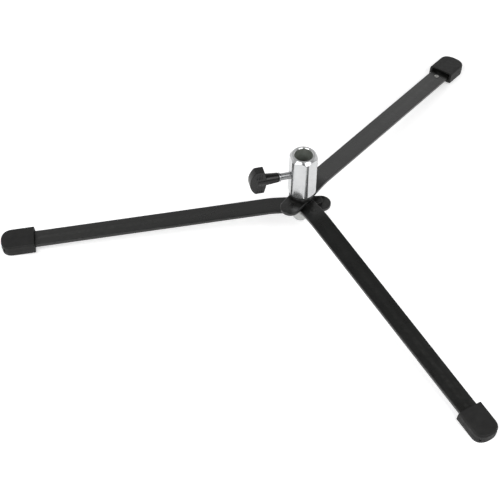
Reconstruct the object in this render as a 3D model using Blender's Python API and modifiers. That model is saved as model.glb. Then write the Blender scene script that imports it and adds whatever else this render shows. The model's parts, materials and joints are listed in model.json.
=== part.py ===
"""Folding floor base for a studio light: three flat steel legs under a hexagonal stud socket.

All lengths are in metres and +Z is up. The origin is the centre of the seat, the flat floor of
the socket's bore. The socket and the middle leg are fixed to each other. The lower and the upper
leg swing about the socket's axis, and a thumbscrew in the socket's wall clamps the stud.
"""

from math import atan2, asin, cos, pi, radians, sin, tan

import bmesh
import bpy
from mathutils import Matrix

GAP = 0.0003                        # air left between two pieces that touch
RUNNING_FIT = 0.00008               # radial play of a shaft that turns in its hole

# Heights above the floor
LOWER_BAR_TOP = 0.0395
SOCKET_BASE = 0.0553
SOCKET_RIM = 0.1005
BORE_DEPTH = 0.0398
SEAT_HEIGHT = SOCKET_RIM - BORE_DEPTH

# Legs: flat bars, stacked on the hub and bent down beside it
BAR_WIDTH = 0.018
BAR_THICKNESS = 0.0034
BAR_PITCH = 0.0055                  # from the top of one bar to the top of the next
BAR_TOP_AT_MOUTH = 0.0102           # height where a bar enters its boot
BAR_TIP_CORNER = 0.003
BAR_EDGE = 0.0004
BEND_DISTANCE = 0.0265              # from the hub's axis
BEND_RADIUS = 0.060
SWING_TIP = 0.2693                  # distance of a swinging bar's tip from the axis
SWING_OVERHANG = 0.0273             # what it has on the other side of the axis
FIXED_TIP = 0.2798
FIXED_OVERHANG = 0.0108
OPEN_ANGLE = radians(120)           # from the middle leg to a leg on its stop
LOWER_LEG_SHORT_OF_STOP = radians(1.45)
UPPER_LEG_SHORT_OF_STOP = radians(7.44)
MIDDLE_LEG_AZIMUTH = radians(-60)
STOP_DISTANCE = 0.0155              # of the stop pin from the axis, on the overhang
STOP_RADIUS = 0.0041
STOP_SHANK_RADIUS = 0.0020
STOP_HEIGHT = 0.0033

# Rubber boots, aligned with the bars
LOWER_MOUTH = 0.2412                # distance of a boot's mouth from the axis
MIDDLE_MOUTH = 0.2518
UPPER_MOUTH = 0.2569                # this boot is not pushed on fully
BOOT_LENGTH = 0.0309
BOOT_HALF_WIDTH = 0.0120
BOOT_HEIGHT = 0.0106
BOOT_SOLE_DEPTH = 0.0068            # from the bar's top face down to the sole
BOOT_TIP = 0.0106                   # length of the rounded tip
BOOT_TIP_EXPONENT = 2.4             # of the superellipse that rounds it
BOOT_TOP_ROUNDING = 0.0020
BOOT_SOLE_ROUNDING = 0.0005
BOOT_MOUTH_ROUNDING = 0.0004
BOOT_MOUTH_AIR = 0.0024             # between the bar and the cavity's roof at the mouth
BOOT_CAVITY_HALF_WIDTH = 0.0095
RIVET_FROM_TIP = 0.0200
RIVET_HEAD_RADIUS = 0.0023
RIVET_HEAD_HEIGHT = 0.0010
RIVET_SHANK_RADIUS = 0.0016

# Hub stack
STUD_RADIUS = 0.00395
STUD_HOLE_RADIUS = 0.00425
STUD_BELOW_NUT = 0.0012
STUD_CEILING = 0.0042               # how deep it screws into the socket's base
LEG_WASHER_RADIUS = 0.0105
FLANGE_RADIUS = 0.0113
BOTTOM_WASHER_RADIUS = 0.0080
BOTTOM_WASHER_THICKNESS = 0.0012
SPRING_WASHER_RADIUS = 0.0070
SPRING_WASHER_THICKNESS = 0.0007
SPRING_WASHER_DISH = 0.0005
NUT_ACROSS_FLATS = 0.0130
NUT_HEX_HEIGHT = 0.0082
NUT_COLLAR_HEIGHT = 0.0022
NUT_COLLAR_RADIUS = 0.0059
NUT_CHAMFER_SLOPE = tan(radians(30))
NUT_FLAT_SHARE = 0.97               # of the half width, that the chamfer leaves flat

# Socket: hexagonal bar with turned corners and ends, bored for a 5/8 inch stud
SOCKET_ACROSS_FLATS = 0.0236
SOCKET_CORNER_RADIUS = 0.0127       # of the cylinder that rounds the six corners
SOCKET_AZIMUTH = radians(191)       # of the flat that the thumbscrew enters
BORE_RADIUS = 0.0081
BORE_CHAMFER = 0.0006
RIM_RADIUS = 0.0103
END_CHAMFER_SLOPE = 1.0             # of both ends: drop for each unit of radius
SMALL_CHAMFER = 0.0005

# Thumbscrew, measured from the socket's axis along the screw
SCREW_HEIGHT = 0.0775
SCREW_RADIUS = 0.0034
PAD_RADIUS = 0.0026
PAD_START = 0.0082
PAD_LENGTH = 0.0009
SCREW_END_IN_KNOB = 0.0310
COLLAR_START = 0.0210
COLLAR_THICKNESS = 0.0010
COLLAR_RADIUS = 0.0042
NECK_RADIUS = 0.00435
NECK_ROOT_RADIUS = 0.0053
WING_START = 0.0343
WING_DEPTH = 0.0149
WING_SHOULDER = 0.0098              # where the crown meets the wing's ends
WING_CORNER = 0.0019                # of the inner corners, along the screw
WING_HALF_HEIGHT = 0.0127
WING_THICKNESS = 0.0083
WING_EDGE = 0.0011
GROOVE_WIDTH = 0.0009
GROOVE_DEPTH = 0.0006
GROOVE_LENGTH = 0.0058
GROOVE_PITCH = 0.0022
GROOVES_PER_END = 3
GROOVE_MIDDLE = 0.0063              # of the middle groove, from the wing's inner side
GROOVE_CENTRE = 0.0079              # of a groove's length, from the screw's axis

ROUND_STEPS = 64
SMALL_STEPS = 32


# ---------------------------------------------------------------- helpers

def start_empty():
    for obj in list(bpy.data.objects):
        bpy.data.objects.remove(obj, do_unlink=True)


def new_collection(name):
    collection = bpy.data.collections.new(name)
    bpy.context.scene.collection.children.link(collection)
    return collection


def principled(name, colour, roughness, metallic=0.0):
    material = bpy.data.materials.new(name)
    material.use_nodes = True
    shader = material.node_tree.nodes["Principled BSDF"]
    shader.inputs["Base Color"].default_value = (*colour, 1.0)
    shader.inputs["Roughness"].default_value = roughness
    shader.inputs["Metallic"].default_value = metallic
    material.diffuse_color = (*colour, 1.0)
    return material


def above_floor(height):
    """The model's z of a height above the floor."""
    return height - SEAT_HEIGHT


def empty(name, location=(0, 0, 0), rotation=(0, 0, 0)):
    pivot = bpy.data.objects.new(name, None)
    pivot.empty_display_size = 0.02
    pivot.location = location
    pivot.rotation_euler = rotation
    PARTS.objects.link(pivot)
    return pivot


def place(name, mesh, parent, material, location=(0, 0, 0), rotation=(0, 0, 0)):
    """A named sub-part, in the frame of the empty that it rides on."""
    obj = bpy.data.objects.new(name, mesh)
    obj.parent = parent
    obj.location = location
    obj.rotation_euler = rotation
    mesh.materials.append(material)
    if mesh.polygons:
        mesh.shade_smooth()
        mesh.set_sharp_from_angle(angle=radians(35))
    PARTS.objects.link(obj)
    return obj


def place_tool(name, mesh, parent, location=(0, 0, 0), rotation=(0, 0, 0)):
    """A solid that only cuts or joins."""
    obj = bpy.data.objects.new(name, mesh)
    obj.parent = parent
    obj.location = location
    obj.rotation_euler = rotation
    obj.hide_render = True
    obj.display_type = "WIRE"
    CUTTERS.objects.link(obj)
    return obj


def boolean(obj, tool, operation="DIFFERENCE"):
    modifier = obj.modifiers.new(operation.title(), "BOOLEAN")
    modifier.operation = operation
    modifier.solver = "EXACT"
    modifier.object = tool


def bevel(obj, width, segments=2, angle=radians(40)):
    modifier = obj.modifiers.new("Bevel", "BEVEL")
    modifier.width = width
    modifier.segments = segments
    modifier.limit_method = "ANGLE"
    modifier.angle_limit = angle
    modifier.harden_normals = False


def profile_mesh(name, points, closed=False):
    """A turned part's profile: (radius, z) points, down the outer side from top to bottom."""
    edges = [(i, i + 1) for i in range(len(points) - 1)]
    if closed:
        edges.append((len(points) - 1, 0))
    mesh = bpy.data.meshes.new(name)
    mesh.from_pydata([(radius, 0, z) for radius, z in points], edges, [])
    return mesh


def turn(obj, steps=SMALL_STEPS):
    modifier = obj.modifiers.new("Screw", "SCREW")
    modifier.axis = "Z"
    modifier.angle = 2 * pi
    modifier.steps = steps
    modifier.render_steps = steps
    modifier.use_merge_vertices = True
    modifier.merge_threshold = 0.00001
    modifier.use_smooth_shade = True


def turned(name, points, parent, material, steps=SMALL_STEPS, closed=False, **placing):
    obj = place(name, profile_mesh(name, points, closed), parent, material, **placing)
    turn(obj, steps)
    return obj


def turned_tool(name, points, parent, steps=SMALL_STEPS, closed=False, **placing):
    obj = place_tool(name, profile_mesh(name, points, closed), parent, **placing)
    turn(obj, steps)
    return obj


def ring_points(inner, outer, bottom, top, chamfer=0.0):
    """The closed profile of a flat ring with chamfered outer edges."""
    return [(inner, top), (outer - chamfer, top), (outer, top - chamfer),
            (outer, bottom + chamfer), (outer - chamfer, bottom), (inner, bottom)]


def rod_points(radius, bottom, top, chamfer=0.0):
    return [(0, top), (radius - chamfer, top), (radius, top - chamfer),
            (radius, bottom + chamfer), (radius - chamfer, bottom), (0, bottom)]


def outline_mesh(name, points, thickness):
    """A flat plate of the closed outline, centred on z = 0, as a welded mesh."""
    curve = bpy.data.curves.new(name, "CURVE")
    curve.dimensions = "2D"
    curve.fill_mode = "BOTH"
    curve.extrude = thickness / 2
    spline = curve.splines.new("POLY")
    spline.points.add(len(points) - 1)
    for point, (x, y) in zip(spline.points, points):
        point.co = (x, y, 0, 1)
    spline.use_cyclic_u = True
    obj = bpy.data.objects.new(name, curve)
    PARTS.objects.link(obj)
    evaluated = obj.evaluated_get(bpy.context.evaluated_depsgraph_get())
    mesh = bpy.data.meshes.new_from_object(evaluated)
    bpy.data.objects.remove(obj, do_unlink=True)
    bpy.data.curves.remove(curve)
    shell = bmesh.new()
    shell.from_mesh(mesh)
    bmesh.ops.remove_doubles(shell, verts=shell.verts, dist=0.000001)
    bmesh.ops.dissolve_limit(shell, angle_limit=radians(0.5), verts=shell.verts, edges=shell.edges)
    bmesh.ops.recalc_face_normals(shell, faces=shell.faces)
    shell.to_mesh(mesh)
    shell.free()
    mesh.name = name
    return mesh


def arc(centre, radius, start, end, steps):
    """Points on a circle from one angle to another, both included."""
    angles = [start + (end - start) * i / steps for i in range(steps + 1)]
    return [(centre[0] + radius * cos(a), centre[1] + radius * sin(a)) for a in angles]


def cylinder_mesh(name, radius, depth, segments=SMALL_STEPS):
    solid = bmesh.new()
    bmesh.ops.create_cone(solid, cap_ends=True, segments=segments,
                          radius1=radius, radius2=radius, depth=depth)
    mesh = bpy.data.meshes.new(name)
    solid.to_mesh(mesh)
    solid.free()
    return mesh


def box_mesh(name, size):
    solid = bmesh.new()
    bmesh.ops.create_cube(solid, size=1.0, matrix=Matrix.Diagonal((*size, 1.0)))
    mesh = bpy.data.meshes.new(name)
    solid.to_mesh(mesh)
    solid.free()
    return mesh


STAND_UP = Matrix.Rotation(pi / 2, 4, "X")      # turns an x, y outline into an x, z one


# ---------------------------------------------------------------- legs

class Leg:
    """One leg in its own frame: +X outwards, origin on the hub's axis at the bar's flat top."""

    def __init__(self, name, level, azimuth, mouth, tip, overhang, hub_end_radius, stop_side):
        self.name = name
        self.top = LOWER_BAR_TOP + level * BAR_PITCH
        self.mouth = mouth
        self.tip = tip
        self.hub_end = overhang
        self.hub_end_radius = hub_end_radius
        self.stop_side = stop_side                  # 1 on top of the bar, -1 below, 0 for none
        self.slope = atan2(self.top - BAR_TOP_AT_MOUTH, mouth - BEND_DISTANCE)
        self.pivot = empty(name + "_pivot", (0, 0, above_floor(self.top)), (0, 0, azimuth))

    def z_top(self, x):
        """Height of the sloping top face, from the flat top at the hub."""
        return -(x - BEND_DISTANCE) * tan(self.slope)

    def on_slope(self, x):
        """Placing of something whose frame lies on the sloping top face."""
        return {"location": (x, 0, self.z_top(x)), "rotation": (0, self.slope, 0)}

    def side_outline(self):
        """The bent bar seen from the side."""
        centre = (BEND_DISTANCE - BEND_RADIUS * tan(self.slope / 2), -BEND_RADIUS)
        tip_top = (self.tip, self.z_top(self.tip))
        tip_bottom = (self.tip - BAR_THICKNESS * sin(self.slope),
                      tip_top[1] - BAR_THICKNESS * cos(self.slope))
        outer = arc(centre, BEND_RADIUS, pi / 2, pi / 2 - self.slope, 5)
        inner = arc(centre, BEND_RADIUS - BAR_THICKNESS, pi / 2 - self.slope, pi / 2, 5)
        past_hub_end = -self.hub_end - BAR_WIDTH
        return ([(past_hub_end, 0)] + outer + [tip_top, tip_bottom] + inner
                + [(past_hub_end, -BAR_THICKNESS)])

    def plan_outline(self):
        """The bar seen from above: a round hub end and a square tip with small corners."""
        half = BAR_WIDTH / 2
        reach = asin(min(1, half / self.hub_end_radius))
        hub = arc((self.hub_end_radius - self.hub_end, 0), self.hub_end_radius,
                  pi - reach, pi + reach, 20)
        corner = BAR_TIP_CORNER
        lower = arc((self.tip - corner, corner - half), corner, -pi / 2, 0, 5)
        upper = arc((self.tip - corner, half - corner), corner, 0, pi / 2, 5)
        return hub + lower + upper

    def drill(self, bar, name, radius, **placing):
        mesh = cylinder_mesh(name, radius, 4 * BAR_THICKNESS)
        boolean(bar, place_tool(name, mesh, self.pivot, **placing))

    def make_bar(self, paint):
        name = self.name + "_bar"
        mesh = outline_mesh(name, self.side_outline(), 2 * BAR_WIDTH)
        mesh.transform(STAND_UP)
        bar = place(name, mesh, self.pivot, paint)
        plan = outline_mesh(name + "_plan", self.plan_outline(), 4 * self.top)
        boolean(bar, place_tool(name + "_plan", plan, self.pivot), "INTERSECT")
        bevel(bar, BAR_EDGE)
        self.drill(bar, name + "_hub_hole", STUD_RADIUS + RUNNING_FIT)
        self.drill(bar, name + "_rivet_hole", RIVET_SHANK_RADIUS + GAP,
                   **self.on_slope(self.tip - RIVET_FROM_TIP))
        if self.stop_side:
            self.drill(bar, name + "_stop_hole", STOP_SHANK_RADIUS + GAP,
                       location=(-STOP_DISTANCE, 0, 0))

    def make_rivet(self, steel):
        angles = [radians(15 * i) for i in range(7)]
        dome = [(RIVET_HEAD_RADIUS * sin(a), GAP + RIVET_HEAD_HEIGHT * cos(a)) for a in angles]
        shank = [(RIVET_SHANK_RADIUS, GAP), (RIVET_SHANK_RADIUS, -BAR_THICKNESS),
                 (0, -BAR_THICKNESS)]
        turned(self.name + "_rivet", dome + shank, self.pivot, steel, steps=20,
               **self.on_slope(self.tip - RIVET_FROM_TIP))

    def make_stop(self, paint):
        """A pin riveted into the overhang; its head bears on the middle bar's edge."""
        points = [(0, STOP_HEIGHT + GAP), (STOP_RADIUS - GAP, STOP_HEIGHT + GAP),
                  (STOP_RADIUS, STOP_HEIGHT), (STOP_RADIUS, GAP), (STOP_SHANK_RADIUS, GAP),
                  (STOP_SHANK_RADIUS, -BAR_THICKNESS), (0, -BAR_THICKNESS)]
        below = self.stop_side < 0
        turned(self.name + "_stop", points, self.pivot, paint, steps=28,
               location=(-STOP_DISTANCE, 0, -BAR_THICKNESS if below else 0),
               rotation=(pi if below else 0, 0, 0))

    @staticmethod
    def boot_outline():
        """The boot from above: straight sides from the mouth, then a rounded tip."""
        straight = BOOT_LENGTH - BOOT_TIP
        power = 2 / BOOT_TIP_EXPONENT
        angles = [radians(9 * i) for i in range(-10, 11)]
        tip = [(straight + BOOT_TIP * abs(cos(a)) ** power,
                BOOT_HALF_WIDTH * abs(sin(a)) ** power * (1 if a > 0 else -1)) for a in angles]
        return [(0, BOOT_HALF_WIDTH), (0, -BOOT_HALF_WIDTH)] + tip

    def cavity_outline(self):
        """The boot's pocket from the side: it fits the bar, with more air towards the mouth."""
        before = -BAR_THICKNESS
        end = (self.tip - self.mouth) / cos(self.slope) + GAP
        bottom = -BAR_THICKNESS - GAP
        return [(before, bottom), (end, bottom), (end, 2 * GAP), (before, BOOT_MOUTH_AIR)]

    def make_boot(self, rubber):
        """A moulded boot; where its sloping sole would pass below the floor, it is flat."""
        name = self.name + "_boot"
        mesh = outline_mesh(name, self.boot_outline(), BOOT_HEIGHT)
        mesh.transform(Matrix.Translation((0, 0, BOOT_HEIGHT / 2 - BOOT_SOLE_DEPTH)))
        weigh_edges(mesh)
        boot = place(name, mesh, self.pivot, rubber, **self.on_slope(self.mouth))
        rounding = boot.modifiers.new("Rounding", "BEVEL")
        rounding.width = BOOT_TOP_ROUNDING
        rounding.segments = 4
        rounding.limit_method = "WEIGHT"
        cavity = outline_mesh(name + "_cavity", self.cavity_outline(), 2 * BOOT_CAVITY_HALF_WIDTH)
        cavity.transform(STAND_UP)
        boolean(boot, place_tool(name + "_cavity", cavity, self.pivot,
                                 **self.on_slope(self.mouth)))
        floor = box_mesh(name + "_floor", (3 * BOOT_LENGTH, 3 * BOOT_LENGTH, BOOT_HEIGHT))
        boolean(boot, place_tool(name + "_floor", floor, self.pivot,
                                 location=(self.tip, 0, -self.top - BOOT_HEIGHT / 2)))


def weigh_edges(mesh):
    """Gives each sharp edge of a boot its share of the rounding of the top."""
    shell = bmesh.new()
    shell.from_mesh(mesh)
    weights = shell.edges.layers.float.new("bevel_weight_edge")
    middle = BOOT_HEIGHT / 2 - BOOT_SOLE_DEPTH
    for edge in shell.edges:
        if edge.calc_face_angle(0) < radians(40):
            continue
        at_mouth = all(abs(vertex.co.x) < GAP for vertex in edge.verts)
        above = all(vertex.co.z > middle for vertex in edge.verts)
        width = BOOT_MOUTH_ROUNDING if at_mouth else BOOT_SOLE_ROUNDING
        edge[weights] = 1.0 if above and not at_mouth else width / BOOT_TOP_ROUNDING
    shell.to_mesh(mesh)
    shell.free()


def make_legs(paint, rubber, steel):
    lower = Leg("lower_leg", 0, MIDDLE_LEG_AZIMUTH - OPEN_ANGLE + LOWER_LEG_SHORT_OF_STOP,
                LOWER_MOUTH, SWING_TIP, SWING_OVERHANG, BAR_WIDTH / 2, 1)
    middle = Leg("middle_leg", 1, MIDDLE_LEG_AZIMUTH,
                 MIDDLE_MOUTH, FIXED_TIP, FIXED_OVERHANG, FIXED_OVERHANG, 0)
    upper = Leg("upper_leg", 2, MIDDLE_LEG_AZIMUTH + OPEN_ANGLE - UPPER_LEG_SHORT_OF_STOP,
                UPPER_MOUTH, SWING_TIP, SWING_OVERHANG, BAR_WIDTH / 2, -1)
    for leg in (lower, middle, upper):
        leg.make_bar(paint)
        leg.make_rivet(steel)
        leg.make_boot(rubber)
        if leg.stop_side:
            leg.make_stop(paint)


# ---------------------------------------------------------------- hub

def make_hub_stack(hub, paint, zinc, nylon, black_plastic):
    bottom = LOWER_BAR_TOP - BAR_THICKNESS
    for level, name in enumerate(("lower_leg_washer", "upper_leg_washer")):
        gap_bottom = above_floor(LOWER_BAR_TOP + level * BAR_PITCH)
        gap_top = gap_bottom + BAR_PITCH - BAR_THICKNESS
        points = ring_points(STUD_HOLE_RADIUS, LEG_WASHER_RADIUS, gap_bottom + GAP, gap_top - GAP)
        turned(name, points, hub, black_plastic, closed=True)
    flange_bottom = above_floor(LOWER_BAR_TOP + 2 * BAR_PITCH) + GAP
    flange_top = above_floor(SOCKET_BASE) - GAP
    turned("socket_flange", ring_points(STUD_HOLE_RADIUS, FLANGE_RADIUS, flange_bottom, flange_top,
                                        SMALL_CHAMFER), hub, paint, steps=48, closed=True)
    washer_top = above_floor(bottom) - GAP
    washer_bottom = washer_top - BOTTOM_WASHER_THICKNESS
    turned("bottom_washer", ring_points(STUD_HOLE_RADIUS, BOTTOM_WASHER_RADIUS, washer_bottom,
                                        washer_top), hub, zinc, closed=True)
    dish_top = washer_bottom - GAP
    dish = [(STUD_HOLE_RADIUS, dish_top), (SPRING_WASHER_RADIUS, dish_top - SPRING_WASHER_DISH),
            (SPRING_WASHER_RADIUS, dish_top - SPRING_WASHER_DISH - SPRING_WASHER_THICKNESS),
            (STUD_HOLE_RADIUS, dish_top - SPRING_WASHER_THICKNESS)]
    turned("spring_washer", dish, hub, zinc, closed=True)
    nut_top = dish_top - SPRING_WASHER_DISH - SPRING_WASHER_THICKNESS - GAP
    nut_bottom = make_nut(hub, zinc, nylon, nut_top)
    stud_top = above_floor(SOCKET_BASE + STUD_CEILING) - GAP
    turned("pivot_stud", rod_points(STUD_RADIUS, nut_bottom - STUD_BELOW_NUT, stud_top,
                                    SMALL_CHAMFER), hub, zinc)


def make_nut(hub, zinc, nylon, top):
    """A locking nut, collar downwards; gives the height of its lower end."""
    hex_bottom = top - NUT_HEX_HEIGHT
    bottom = hex_bottom - NUT_COLLAR_HEIGHT
    corner = NUT_ACROSS_FLATS / (2 * cos(pi / 6))
    flat_radius = NUT_ACROSS_FLATS / 2 * NUT_FLAT_SHARE
    drop = (corner - flat_radius) * NUT_CHAMFER_SLOPE
    nut = place("lock_nut", cylinder_mesh("lock_nut", corner, NUT_HEX_HEIGHT, 6), hub, zinc,
                location=(0, 0, top - NUT_HEX_HEIGHT / 2))
    blank = [(0, top + GAP), (flat_radius, top + GAP), (corner + GAP, top - drop),
             (corner + GAP, hex_bottom + drop), (flat_radius, hex_bottom - GAP),
             (0, hex_bottom - GAP)]
    boolean(nut, turned_tool("lock_nut_blank", blank, hub), "INTERSECT")
    collar = [(0, top - GAP), (NUT_COLLAR_RADIUS, top - GAP),
              (NUT_COLLAR_RADIUS, bottom + SMALL_CHAMFER), (NUT_COLLAR_RADIUS - SMALL_CHAMFER, bottom),
              (0, bottom)]
    boolean(nut, turned_tool("lock_nut_collar", collar, hub), "UNION")
    pocket_radius = NUT_COLLAR_RADIUS - 2 * GAP
    pocket = [(0, top + GAP), (STUD_HOLE_RADIUS, top + GAP), (STUD_HOLE_RADIUS, hex_bottom),
              (pocket_radius, hex_bottom), (pocket_radius, bottom - GAP), (0, bottom - GAP)]
    boolean(nut, turned_tool("lock_nut_pocket", pocket, hub))
    turned("lock_nut_insert", ring_points(STUD_HOLE_RADIUS, pocket_radius - GAP, bottom + GAP,
                                          hex_bottom - GAP), hub, nylon, closed=True)
    return bottom


def make_socket(hub, chrome):
    """A turned blank with both bores, cut to a hexagon, then drilled for the thumbscrew."""
    base = above_floor(SOCKET_BASE)
    rim = above_floor(SOCKET_RIM)
    corner = SOCKET_ACROSS_FLATS / (2 * cos(pi / 6))
    end_chamfer = (SOCKET_CORNER_RADIUS - RIM_RADIUS) * END_CHAMFER_SLOPE
    points = [(0, 0), (BORE_RADIUS, 0), (BORE_RADIUS, rim - BORE_CHAMFER),
              (BORE_RADIUS + BORE_CHAMFER, rim), (RIM_RADIUS, rim),
              (SOCKET_CORNER_RADIUS, rim - end_chamfer),
              (SOCKET_CORNER_RADIUS, base + end_chamfer), (RIM_RADIUS, base),
              (STUD_HOLE_RADIUS, base), (STUD_HOLE_RADIUS, base + STUD_CEILING),
              (0, base + STUD_CEILING)]
    socket = turned("socket", points, hub, chrome, steps=ROUND_STEPS)
    height = SOCKET_RIM - SOCKET_BASE
    prism = place_tool("socket_hexagon", cylinder_mesh("socket_hexagon", corner, 2 * height, 6), hub,
                       location=(0, 0, base + height / 2), rotation=(0, 0, SOCKET_AZIMUTH + pi / 6))
    boolean(socket, prism, "INTERSECT")
    hole_radius = SCREW_RADIUS + RUNNING_FIT
    drill = place_tool("thumbscrew_hole", cylinder_mesh("thumbscrew_hole", hole_radius, 2 * corner),
                       hub, location=(corner * cos(SOCKET_AZIMUTH), corner * sin(SOCKET_AZIMUTH),
                                      above_floor(SCREW_HEIGHT)), rotation=(0, pi / 2, SOCKET_AZIMUTH))
    boolean(socket, drill)


# ---------------------------------------------------------------- thumbscrew

def wing_outline():
    """Half-round grip plate: x along the screw, y across it."""
    half = WING_HALF_HEIGHT
    sagitta = WING_DEPTH - WING_SHOULDER
    radius = (sagitta ** 2 + half ** 2) / (2 * sagitta)
    reach = asin(half / radius)
    outer = arc((WING_DEPTH - radius, 0), radius, -reach, reach, 14)
    inner = [(WING_CORNER, half), (0, NECK_ROOT_RADIUS)]
    mirrored = [(x, -y) for x, y in reversed(inner)]
    return outer + inner + mirrored


def make_thumbscrew(black_plastic, chrome):
    pivot = empty("thumbscrew_pivot", (0, 0, above_floor(SCREW_HEIGHT)), (0, pi / 2, SOCKET_AZIMUTH))
    pad_end = PAD_START + PAD_LENGTH
    turned("pressure_pad", rod_points(PAD_RADIUS, PAD_START, pad_end, GAP), pivot, chrome, steps=24)
    turned("thumbscrew_stud", rod_points(SCREW_RADIUS, pad_end + GAP, SCREW_END_IN_KNOB,
                                         SMALL_CHAMFER), pivot, chrome)
    collar_end = COLLAR_START + COLLAR_THICKNESS
    turned("thumbscrew_collar", ring_points(SCREW_RADIUS + GAP, COLLAR_RADIUS, COLLAR_START,
                                            collar_end, GAP), pivot, chrome, closed=True)
    neck_start = collar_end + GAP
    neck_end = WING_START + WING_DEPTH / 2
    bore_radius = SCREW_RADIUS + GAP
    bore_end = SCREW_END_IN_KNOB + GAP
    neck = [(0, neck_end), (NECK_ROOT_RADIUS - SMALL_CHAMFER, neck_end), (NECK_ROOT_RADIUS, WING_START),
            (NECK_RADIUS, neck_start + 2 * GAP), (NECK_RADIUS - 2 * GAP, neck_start),
            (bore_radius, neck_start), (bore_radius, bore_end), (0, bore_end)]
    knob = turned("thumbscrew_knob", neck, pivot, black_plastic)
    wing = outline_mesh("thumbscrew_wing", wing_outline(), WING_THICKNESS)
    upright = Matrix.Translation((0, 0, WING_START)) @ Matrix(
        ((0, -1, 0, 0), (0, 0, 1, 0), (1, 0, 0, 0), (0, 0, 0, 1)))
    wing.transform(upright)                     # which mirrors it, so its faces are turned back
    wing.flip_normals()
    wing_tool = place_tool("thumbscrew_wing", wing, pivot)
    bevel(wing_tool, WING_EDGE, 3, radians(30))
    boolean(knob, wing_tool, "UNION")
    boolean(knob, make_grooves(pivot))


def make_grooves(pivot):
    """Finger grooves across both faces of the wing, at its two ends."""
    grooves = bmesh.new()
    first = WING_START + GROOVE_MIDDLE - GROOVE_PITCH
    size = (GROOVE_LENGTH, 2 * GROOVE_DEPTH, GROOVE_WIDTH, 1.0)
    for end in (-1, 1):
        for face in (-1, 1):
            for step in range(GROOVES_PER_END):
                centre = (end * GROOVE_CENTRE, face * WING_THICKNESS / 2,
                          first + step * GROOVE_PITCH)
                bmesh.ops.create_cube(grooves, size=1.0,
                                      matrix=Matrix.Translation(centre) @ Matrix.Diagonal(size))
    mesh = bpy.data.meshes.new("thumbscrew_grooves")
    grooves.to_mesh(mesh)
    grooves.free()
    return place_tool("thumbscrew_grooves", mesh, pivot)


# ---------------------------------------------------------------- assembly

def main():
    paint = principled("black_powder_coat", (0.020, 0.021, 0.019), 0.45)
    rubber = principled("black_rubber", (0.030, 0.030, 0.030), 0.70)
    black_plastic = principled("black_plastic", (0.028, 0.028, 0.028), 0.40)
    chrome = principled("chrome", (0.78, 0.79, 0.78), 0.12, 1.0)
    zinc = principled("zinc_plated_steel", (0.62, 0.61, 0.57), 0.35, 1.0)
    nylon = principled("white_nylon", (0.75, 0.76, 0.72), 0.50)
    hub = empty("hub")
    make_socket(hub, chrome)
    make_hub_stack(hub, paint, zinc, nylon, black_plastic)
    make_legs(paint, rubber, zinc)
    make_thumbscrew(black_plastic, chrome)


start_empty()
PARTS = new_collection("folding_light_base")
CUTTERS = new_collection("cutters")
main()
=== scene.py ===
"""Looks of the folding light base: detailed meshes, materials, studio and camera around the frame.

Lengths are in metres, in the frame's axes: +Z up, origin at the stud seat in the socket.
"""

import json
from math import acos, asin, atan2, cos, exp, hypot, log, pi, radians, sin, tan

import bmesh
import bpy
from mathutils import Matrix, Vector

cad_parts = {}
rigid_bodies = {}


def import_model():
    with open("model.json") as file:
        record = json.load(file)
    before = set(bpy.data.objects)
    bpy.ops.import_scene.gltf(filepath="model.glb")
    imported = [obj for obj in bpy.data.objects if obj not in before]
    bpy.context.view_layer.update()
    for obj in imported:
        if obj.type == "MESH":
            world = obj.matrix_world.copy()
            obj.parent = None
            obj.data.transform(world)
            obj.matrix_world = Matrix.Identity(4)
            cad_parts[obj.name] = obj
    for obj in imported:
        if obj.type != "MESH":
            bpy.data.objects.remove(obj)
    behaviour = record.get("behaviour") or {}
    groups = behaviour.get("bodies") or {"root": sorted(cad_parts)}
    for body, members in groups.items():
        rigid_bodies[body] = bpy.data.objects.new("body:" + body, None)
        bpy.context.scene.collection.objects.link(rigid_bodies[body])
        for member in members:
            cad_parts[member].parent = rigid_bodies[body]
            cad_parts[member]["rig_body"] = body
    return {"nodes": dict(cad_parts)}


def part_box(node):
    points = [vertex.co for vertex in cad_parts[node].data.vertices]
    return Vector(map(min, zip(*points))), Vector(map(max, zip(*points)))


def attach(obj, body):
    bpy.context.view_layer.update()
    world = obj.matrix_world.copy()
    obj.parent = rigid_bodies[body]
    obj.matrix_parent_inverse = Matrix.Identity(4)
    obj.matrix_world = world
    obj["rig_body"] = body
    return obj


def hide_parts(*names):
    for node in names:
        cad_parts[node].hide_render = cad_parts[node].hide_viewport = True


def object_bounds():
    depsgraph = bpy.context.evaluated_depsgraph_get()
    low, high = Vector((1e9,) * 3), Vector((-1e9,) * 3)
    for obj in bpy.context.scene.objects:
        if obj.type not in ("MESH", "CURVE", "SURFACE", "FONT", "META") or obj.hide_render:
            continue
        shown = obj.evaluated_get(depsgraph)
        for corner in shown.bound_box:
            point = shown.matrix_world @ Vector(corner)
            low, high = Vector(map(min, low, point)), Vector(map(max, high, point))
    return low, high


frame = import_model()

CAD_LOW, CAD_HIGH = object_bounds()
FLOOR = CAD_LOW.z
RIM = CAD_HIGH.z

# ---------------------------------------------------------------- sizes

GAP = 0.0003                            # air between two pieces that touch
RUNNING_FIT = 0.00008                   # radial play of a shaft that turns in its hole
SLIVER = 0.000004                       # an edge shorter than this is left over from a cut

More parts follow.
